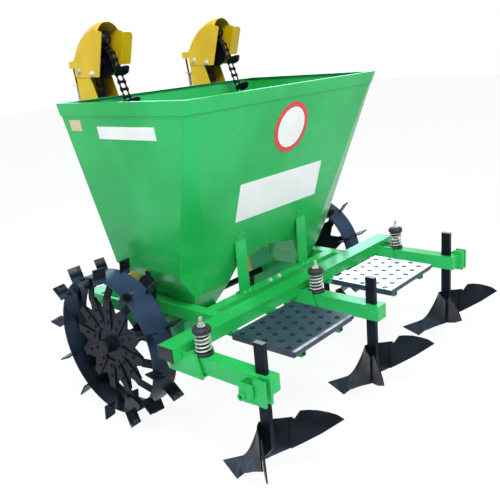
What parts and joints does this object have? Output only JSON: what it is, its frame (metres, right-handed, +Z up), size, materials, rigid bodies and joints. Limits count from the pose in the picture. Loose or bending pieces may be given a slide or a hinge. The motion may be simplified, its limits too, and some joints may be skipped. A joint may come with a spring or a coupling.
{
  "type": "potato planter",
  "caption": "Mounted two-row potato planter with green hopper, yellow cup elevators, lugged steel wheels, sprung ridging bodies and footboards.",
  "frame": {"origin": "on the ground below the middle of the machine's bounding box", "axes": "+X to the machine's right, +Y forwards to the tractor, +Z up"},
  "size_m": [1.764, 1.4306, 1.582],
  "materials": {
    "green_paint": "gloss",
    "yellow_paint": "gloss",
    "black_steel": "satin",
    "soil_worn_steel": "satin",
    "chain_black": "satin",
    "zinc": "satin",
    "black_plastic": "matte"
  },
  "bodies": {
    "frame": {"arm_brackets": "green_paint", "arm_left": "green_paint", "arm_middle": "green_paint", "arm_right": "green_paint", "axle_bracket_left": "green_paint", "axle_bracket_right": "green_paint", "chain_idlers": "chain_black", "cup_chain_left": "chain_black", "cup_chain_right": "chain_black", "drive_guard_left": "black_steel", "drive_guard_right": "black_steel", "drive_shaft": "chain_black", "elevator_boot_left": "green_paint", "elevator_boot_right": "green_paint", "elevator_hood_left": "yellow_paint", "elevator_hood_right": "yellow_paint", "elevator_stays": "green_paint", "elevator_tube_left": "yellow_paint", "elevator_tube_right": "yellow_paint", "footboard_bars": "green_paint", "footboard_left": "black_steel", "footboard_right": "black_steel", "front_beam": "green_paint", "furrow_opener_left": "green_paint", "furrow_opener_right": "green_paint", "hitch_mast": "green_paint", "hopper_edge": "green_paint", "hopper_front_panel": "green_paint", "hopper_funnel_left": "green_paint", "hopper_funnel_right": "green_paint", "hopper_posts": "green_paint", "hopper_rear_panel": "green_paint", "hopper_side_panel_left": "green_paint", "hopper_side_panel_right": "green_paint", "hopper_struts": "green_paint", "lower_link_bracket_left": "green_paint", "lower_link_bracket_right": "green_paint", "rear_cross_beam": "green_paint", "ridging_body_left": "soil_worn_steel", "ridging_body_middle": "soil_worn_steel", "ridging_body_right": "soil_worn_steel", "shank_left": "black_steel", "shank_middle": "black_steel", "shank_right": "black_steel", "side_rail_left": "green_paint", "side_rail_right": "green_paint", "spring_caps": "black_plastic", "spring_coils": "zinc", "spring_rods": "zinc", "stub_axle_left": "black_steel", "stub_axle_right": "black_steel", "toolbar": "green_paint", "toolbar_caps": "black_plastic", "top_sprockets": "chain_black"},
    "wheel_left": {"wheel_rim_left": "black_steel", "wheel_hub_left": "black_steel"},
    "wheel_right": {"wheel_rim_right": "black_steel", "wheel_hub_right": "black_steel"}
  },
  "joints": [
    {"name": "wheel_left_spin", "type": "hinge", "parent": "frame", "child": "wheel_left", "pos_m": [-0.665, 0.25027, 0.3396], "axis": [1, 0, 0], "continuous": true},
    {"name": "wheel_right_spin", "type": "hinge", "parent": "frame", "child": "wheel_right", "pos_m": [0.665, 0.25027, 0.3396], "axis": [1, 0, 0], "continuous": true}
  ]
}
